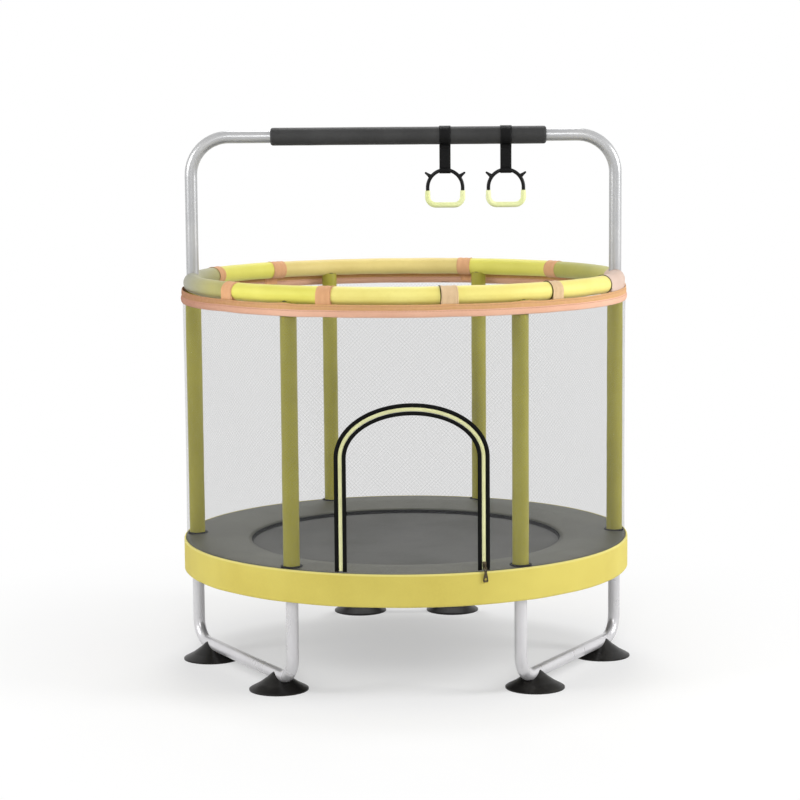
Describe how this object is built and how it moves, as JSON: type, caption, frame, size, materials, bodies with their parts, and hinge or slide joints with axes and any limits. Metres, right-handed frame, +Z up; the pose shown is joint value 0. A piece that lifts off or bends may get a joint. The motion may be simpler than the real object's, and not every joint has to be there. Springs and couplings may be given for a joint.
{
  "type": "trampoline",
  "caption": "Children's indoor trampoline with a round zipped enclosure net, foam-covered posts, suction feet and an arched grab bar with two hanging hand rings.",
  "frame": {"origin": "centre of the floor area under the trampoline, on the floor", "axes": "+Z up, -Y towards the zipped entrance, +X to the right seen from the entrance"},
  "size_m": [1.2256, 1.22, 1.4504],
  "materials": {
    "steel_tube": "satin powder coat",
    "zinc_steel": "zinc plated",
    "foot_rubber": "satin",
    "olive_foam": "satin skinned foam",
    "black_trim": "woven binding",
    "mat_fabric": "woven mesh",
    "black_webbing": "woven webbing",
    "pad_cover": "satin coated fabric",
    "skirt_fabric": "woven",
    "fitting_plastic": "moulded",
    "ring_foam": "satin skinned foam",
    "salmon_fabric": "woven",
    "net_mesh": "fine mesh",
    "zip_teeth": "moulded teeth",
    "zip_metal": "dark plated",
    "grip_foam": "soft foam",
    "ring_plastic": "moulded",
    "ring_grip": "soft foam"
  },
  "bodies": {
    "frame": {"frame_ring": "steel_tube", "post_sockets": "steel_tube", "socket_screws": "zinc_steel", "leg_left": "steel_tube", "leg_right": "steel_tube", "leg_rear": "steel_tube", "foot_left_side": "foot_rubber", "foot_left_front": "foot_rubber", "foot_right_side": "foot_rubber", "foot_right_front": "foot_rubber", "foot_rear_left": "foot_rubber", "foot_rear_right": "foot_rubber", "post_left": "steel_tube", "post_right": "steel_tube", "post_front_left": "steel_tube", "post_front_right": "steel_tube", "post_rear_left": "steel_tube", "post_rear_right": "steel_tube", "post_foam_left": "olive_foam", "post_foam_right": "olive_foam", "post_foam_front_left": "olive_foam", "post_foam_front_right": "olive_foam", "post_foam_rear_left": "olive_foam", "post_foam_rear_right": "olive_foam", "post_collars": "black_trim", "springs": "zinc_steel", "spring_pad": "pad_cover", "pad_piping": "black_trim", "skirt": "skirt_fabric", "top_ring_tubes": "steel_tube", "top_fittings": "fitting_plastic", "top_fitting_screws": "zinc_steel", "top_ring_foam": "ring_foam", "ring_ties": "salmon_fabric", "hem_band": "salmon_fabric", "net_front": "net_mesh", "net_left": "net_mesh", "net_right": "net_mesh", "net_rear": "net_mesh", "net_rear_left": "net_mesh", "net_rear_right": "net_mesh", "zip_outer_tape": "black_trim", "zip_chain": "zip_teeth", "grab_bar": "steel_tube", "bar_grip": "grip_foam"},
    "mat": {"jumping_mat": "mat_fabric", "mat_webbing": "black_webbing", "mat_rings": "zinc_steel"},
    "door": {"door_net": "net_mesh", "zip_door_tape": "black_trim"},
    "zip_slider": {"zip_slider": "zip_metal"},
    "zip_pull": {"zip_pull": "zip_metal"},
    "left_strap": {"strap_left": "black_webbing"},
    "right_strap": {"strap_right": "black_webbing"},
    "left_hand_ring": {"hand_ring_left": "ring_plastic", "ring_grip_left": "ring_grip"},
    "right_hand_ring": {"hand_ring_right": "ring_plastic", "ring_grip_right": "ring_grip"}
  },
  "joints": [
    {"name": "mat_bounce", "type": "slide", "parent": "frame", "child": "mat", "axis": [0, 0, -1], "range_m": [0, 0.08], "stiffness_N_per_m": 4000, "springref_m": -0.003, "deforming": ["springs"]},
    {"name": "door_open", "type": "hinge", "parent": "frame", "child": "door", "pos_m": [0.016, -0.607, 0.341], "axis": [1, 0, 0], "range_deg": [0, 100]},
    {"name": "zip_slide", "type": "slide", "parent": "frame", "child": "zip_slider", "axis": [0, 0, 1], "range_m": [0, 0.25]},
    {"name": "zip_pull_flip", "type": "hinge", "parent": "zip_slider", "child": "zip_pull", "pos_m": [0.19913, -0.57722, 0.3475], "axis": [-0.9453, -0.3261, 0], "range_deg": [0, 150]},
    {"name": "strap_left_swing", "type": "hinge", "parent": "frame", "child": "left_strap", "pos_m": [0.114, 0, 1.424], "axis": [1, 0, 0], "range_deg": [-80, 80]},
    {"name": "ring_left_swing", "type": "hinge", "parent": "left_strap", "child": "left_hand_ring", "pos_m": [0.114, 0, 1.3296], "axis": [1, 0, 0], "range_deg": [-70, 70]},
    {"name": "strap_right_swing", "type": "hinge", "parent": "frame", "child": "right_strap", "pos_m": [0.279, 0, 1.424], "axis": [1, 0, 0], "range_deg": [-80, 80]},
    {"name": "ring_right_swing", "type": "hinge", "parent": "right_strap", "child": "right_hand_ring", "pos_m": [0.279, 0, 1.3296], "axis": [1, 0, 0], "range_deg": [-70, 70]}
  ]
}
